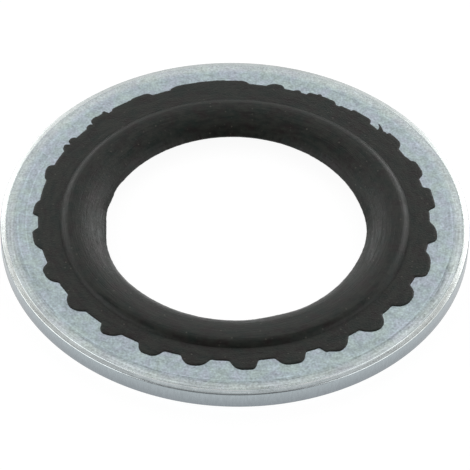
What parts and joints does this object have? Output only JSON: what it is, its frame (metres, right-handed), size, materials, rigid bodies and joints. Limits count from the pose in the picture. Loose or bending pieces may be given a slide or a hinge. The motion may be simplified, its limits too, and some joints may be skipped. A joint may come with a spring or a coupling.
{
  "type": "seal ring",
  "caption": "Flat steel washer with a black rubber sealing ring moulded round its bore, raised to a bead on each face and edged with small square tabs.",
  "frame": {"origin": "centre of the ring, halfway through its thickness", "axes": "+Z along the bore axis, out of the face that the picture shows; +Y away from the camera"},
  "size_m": [0.028, 0.028, 0.0018],
  "materials": {
    "zinc_plated_steel": "satin",
    "black_rubber": "matte"
  },
  "bodies": {
    "root": {"steel_washer": "zinc_plated_steel", "rubber_seal": "black_rubber"}
  },
  "joints": []
}
